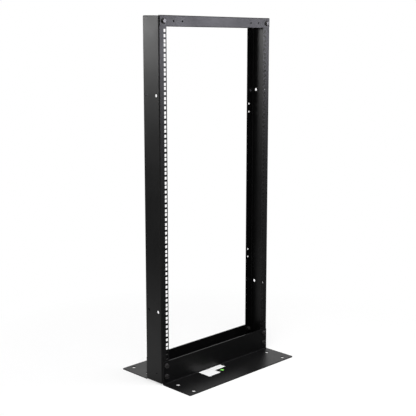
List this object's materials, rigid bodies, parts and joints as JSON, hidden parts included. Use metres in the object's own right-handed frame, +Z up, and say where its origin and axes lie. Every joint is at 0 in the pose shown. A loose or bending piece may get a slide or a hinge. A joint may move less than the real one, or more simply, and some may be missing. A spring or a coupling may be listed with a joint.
{
  "type": "two post open frame rack",
  "caption": "Open steel rack: two channel posts with square rail holes, joined by angles at the top and by wide footed angles at the floor.",
  "frame": {"origin": "on the floor, under the middle of the rack", "axes": "+Z up, +X to the rack's right seen from the front, the front faces -Y"},
  "size_m": [0.5144, 0.3362, 1.1905],
  "materials": {
    "frame": "fine textured black powder coat",
    "fastener": "black oxide, slightly glossy"
  },
  "bodies": {
    "root": {"front_base_angle": "frame", "front_top_angle": "frame", "left_post": "frame", "rear_base_angle": "frame", "rear_top_angle": "frame", "right_post": "frame"}
  },
  "joints": []
}
